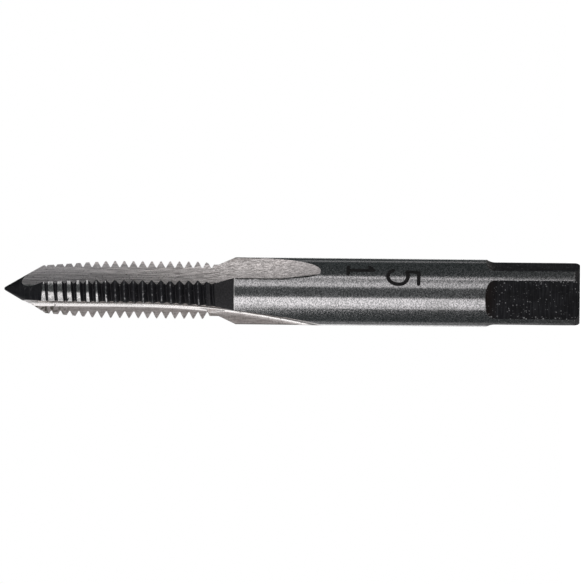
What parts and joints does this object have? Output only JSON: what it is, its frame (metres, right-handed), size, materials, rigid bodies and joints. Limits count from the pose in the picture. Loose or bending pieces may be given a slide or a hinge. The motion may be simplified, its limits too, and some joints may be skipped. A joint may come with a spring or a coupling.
{
  "type": "thread tap",
  "caption": "Straight-fluted hand tap: pointed threaded end with tapered lead, relieved lands and curved flute run-outs, round shank and driving square.",
  "frame": {"origin": "middle of the end face of the driving square, on which the tap stands", "axes": "+Z along the tap to its point, +X and +Y square to the flats of the driving square"},
  "size_m": [0.0058, 0.0058, 0.05],
  "materials": {
    "tool_steel": "ground and darkened tool steel, satin"
  },
  "bodies": {
    "root": {"thread_tap": "tool_steel"}
  },
  "joints": []
}
